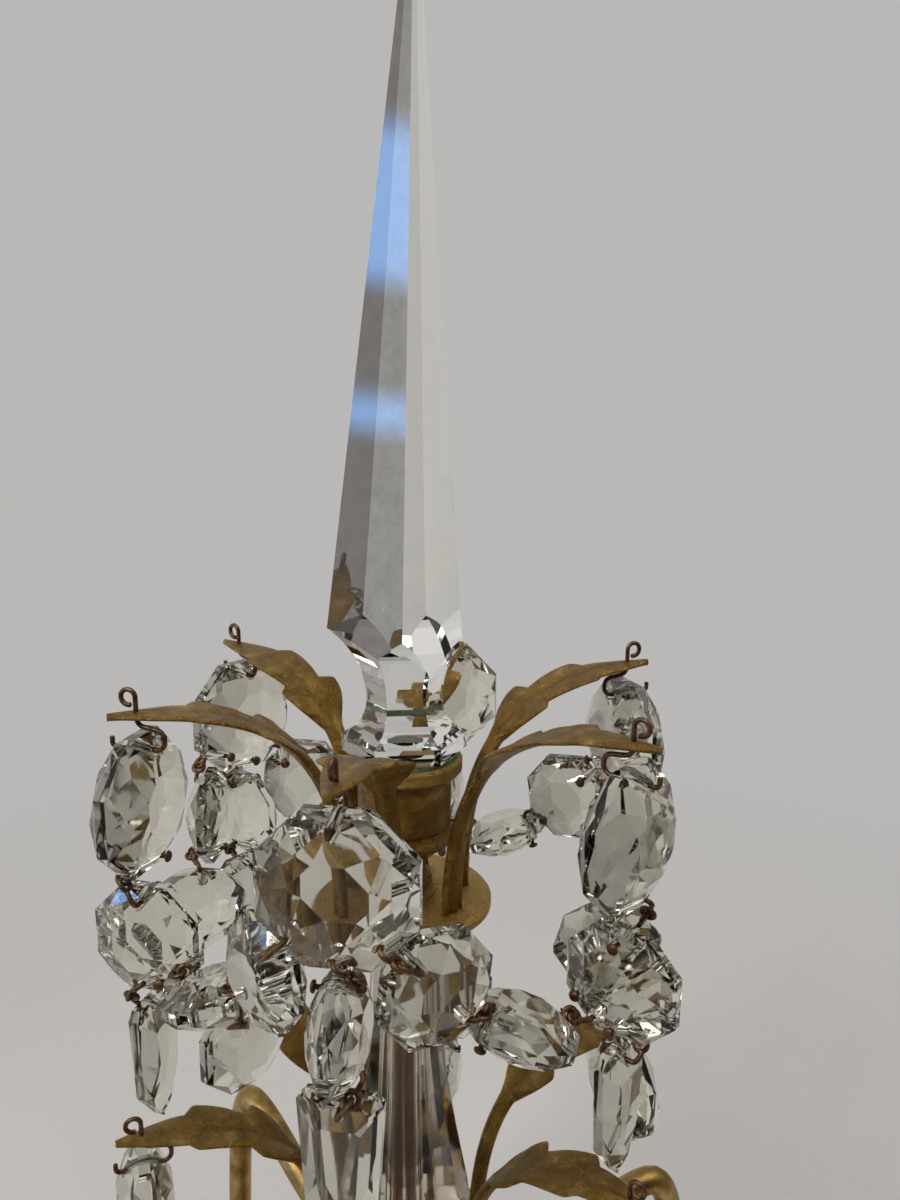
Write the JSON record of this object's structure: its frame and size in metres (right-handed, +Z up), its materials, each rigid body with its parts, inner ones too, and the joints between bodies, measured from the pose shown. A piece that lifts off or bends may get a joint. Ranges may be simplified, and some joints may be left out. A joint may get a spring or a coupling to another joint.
{
  "type": "girandole candle holder",
  "caption": "Brass table girandole with scrolled candle arms, two crowns of cast leaves, swinging cut crystals on wire and a faceted glass spire.",
  "frame": {"origin": "on the table at the centre of the felt, on the stem's axis", "axes": "+Z up along the stem, -Y towards the front of the picture, +X to its right"},
  "size_m": [0.279, 0.2786, 0.5629],
  "materials": {
    "brass": "old gold, matte and granular with worn bright edges",
    "gilt": "pale gilt, satin",
    "hardware": "dark unpolished brass",
    "wire": "dark brown oxidised wire",
    "glass": "clear cut and polished",
    "felt": "pressed felt",
    "iron": "as cast",
    "bedding": "verdigris-stained bedding"
  },
  "bodies": {
    "stand": {"felt_pad": "felt", "foot": "brass", "weight": "iron", "rod_nut": "hardware", "tie_rod": "hardware", "baluster": "glass", "arm_hub": "brass", "candle_arm_1": "gilt", "candle_arm_2": "gilt", "candle_arm_3": "gilt", "drip_pans": "brass", "candle_cups": "gilt", "lower_plate": "brass", "lower_leaves": "brass", "column": "glass", "upper_plate": "brass", "upper_leaves": "brass", "leaf_screws": "hardware", "spire_cup": "brass", "bedding": "bedding", "spire": "glass", "upper_octagons": "glass", "upper_wires": "wire", "lower_hooks": "wire"},
    "festoon_front_right": {"festoon_front_right": "glass", "festoon_front_right_wires": "wire"},
    "festoon_front_left": {"festoon_front_left": "glass", "festoon_front_left_wires": "wire"},
    "festoon_back_right": {"festoon_back_right": "glass", "festoon_back_right_wires": "wire"},
    "festoon_right": {"festoon_right": "glass", "festoon_right_wires": "wire"},
    "festoon_left": {"festoon_left": "glass", "festoon_left_wires": "wire"},
    "festoon_back_left": {"festoon_back_left": "glass", "festoon_back_left_wires": "wire"},
    "small_octagon_1": {"small_octagon_1": "glass", "small_octagon_1_wire": "wire"},
    "long_prism_1": {"long_prism_1": "glass"},
    "small_octagon_2": {"small_octagon_2": "glass", "small_octagon_2_wire": "wire"},
    "long_prism_2": {"long_prism_2": "glass"},
    "small_octagon_3": {"small_octagon_3": "glass", "small_octagon_3_wire": "wire"},
    "long_prism_3": {"long_prism_3": "glass"},
    "short_prism_1": {"short_prism_1": "glass"},
    "short_prism_2": {"short_prism_2": "glass"},
    "short_prism_3": {"short_prism_3": "glass"},
    "lower_octagon_1": {"lower_octagon_1": "glass"},
    "lower_octagon_2": {"lower_octagon_2": "glass", "lower_octagon_2_wire": "wire"},
    "lower_octagon_3": {"lower_octagon_3": "glass"},
    "lower_octagon_4": {"lower_octagon_4": "glass", "lower_octagon_4_wire": "wire"},
    "lower_octagon_5": {"lower_octagon_5": "glass"},
    "lower_octagon_6": {"lower_octagon_6": "glass", "lower_octagon_6_wire": "wire"}
  },
  "joints": [
    {"name": "festoon_front_right_swing", "type": "hinge", "parent": "stand", "child": "festoon_front_right", "pos_m": [-0.00087, -0.07171, 0.32595], "axis": [0.7312, 0.429, -0.5304], "range_deg": [-6, 6]},
    {"name": "festoon_front_left_swing", "type": "hinge", "parent": "stand", "child": "festoon_front_left", "pos_m": [-0.02085, -0.06862, 0.32595], "axis": [-0.5629, 0.6404, -0.5225], "range_deg": [-6, 6]},
    {"name": "festoon_back_right_swing", "type": "hinge", "parent": "stand", "child": "festoon_back_right", "pos_m": [0.06254, 0.0351, 0.32595], "axis": [-0.7371, 0.4188, -0.5304], "range_deg": [-6, 6]},
    {"name": "festoon_right_swing", "type": "hinge", "parent": "stand", "child": "festoon_right", "pos_m": [0.06985, 0.01625, 0.32595], "axis": [-0.3301, -0.8068, -0.49], "range_deg": [-6, 6]},
    {"name": "festoon_left_swing", "type": "hinge", "parent": "stand", "child": "festoon_left", "pos_m": [-0.06167, 0.03661, 0.32595], "axis": [0.0085, -0.8596, -0.5109], "range_deg": [-6, 6]},
    {"name": "festoon_back_left_swing", "type": "hinge", "parent": "stand", "child": "festoon_back_left", "pos_m": [-0.049, 0.05237, 0.32595], "axis": [0.8637, 0.1175, -0.49], "range_deg": [-6, 6]},
    {"name": "small_octagon_1_swing", "type": "hinge", "parent": "stand", "child": "small_octagon_1", "pos_m": [-0.01086, -0.07016, 0.31246], "axis": [0.9882, -0.153, 0], "range_deg": [-10, 10]},
    {"name": "long_prism_1_swing", "type": "hinge", "parent": "small_octagon_1", "child": "long_prism_1", "pos_m": [-0.01086, -0.07016, 0.28356], "axis": [-0.153, -0.9882, 0], "range_deg": [-15, 15]},
    {"name": "small_octagon_2_swing", "type": "hinge", "parent": "stand", "child": "small_octagon_2", "pos_m": [0.06619, 0.02567, 0.31246], "axis": [-0.3616, 0.9323, 0], "range_deg": [-10, 10]},
    {"name": "long_prism_2_swing", "type": "hinge", "parent": "small_octagon_2", "child": "long_prism_2", "pos_m": [0.06619, 0.02567, 0.28356], "axis": [0.9323, 0.3616, 0], "range_deg": [-15, 15]},
    {"name": "small_octagon_3_swing", "type": "hinge", "parent": "stand", "child": "small_octagon_3", "pos_m": [-0.05533, 0.04449, 0.31246], "axis": [-0.6266, -0.7793, 0], "range_deg": [-10, 10]},
    {"name": "long_prism_3_swing", "type": "hinge", "parent": "small_octagon_3", "child": "long_prism_3", "pos_m": [-0.05533, 0.04449, 0.28356], "axis": [-0.7793, 0.6266, 0], "range_deg": [-15, 15]},
    {"name": "short_prism_1_swing", "type": "hinge", "parent": "stand", "child": "short_prism_1", "pos_m": [0.05533, -0.04449, 0.27756], "axis": [0.7793, -0.6266, 0], "range_deg": [-15, 15]},
    {"name": "short_prism_2_swing", "type": "hinge", "parent": "stand", "child": "short_prism_2", "pos_m": [0.01086, 0.07016, 0.27756], "axis": [0.153, 0.9882, 0], "range_deg": [-15, 15]},
    {"name": "short_prism_3_swing", "type": "hinge", "parent": "stand", "child": "short_prism_3", "pos_m": [-0.06619, -0.02567, 0.27756], "axis": [-0.9711, 0.2385, 0], "range_deg": [-15, 15]},
    {"name": "lower_octagon_1_swing", "type": "hinge", "parent": "stand", "child": "lower_octagon_1", "pos_m": [-0.01165, -0.07527, 0.22936], "axis": [-0.153, -0.9882, 0], "range_deg": [-12, 12]},
    {"name": "lower_octagon_2_swing", "type": "hinge", "parent": "stand", "child": "lower_octagon_2", "pos_m": [0.05936, -0.04773, 0.22936], "axis": [0.7793, -0.6266, 0], "range_deg": [-12, 12]},
    {"name": "lower_octagon_3_swing", "type": "hinge", "parent": "stand", "child": "lower_octagon_3", "pos_m": [0.07102, 0.02755, 0.22936], "axis": [0.9323, 0.3616, 0], "range_deg": [-12, 12]},
    {"name": "lower_octagon_4_swing", "type": "hinge", "parent": "stand", "child": "lower_octagon_4", "pos_m": [0.01165, 0.07527, 0.22936], "axis": [0.153, 0.9882, 0], "range_deg": [-12, 12]},
    {"name": "lower_octagon_5_swing", "type": "hinge", "parent": "stand", "child": "lower_octagon_5", "pos_m": [-0.05936, 0.04773, 0.22936], "axis": [-0.7793, 0.6266, 0], "range_deg": [-12, 12]},
    {"name": "lower_octagon_6_swing", "type": "hinge", "parent": "stand", "child": "lower_octagon_6", "pos_m": [-0.07102, -0.02755, 0.22936], "axis": [-0.9323, -0.3616, 0], "range_deg": [-12, 12]}
  ]
}
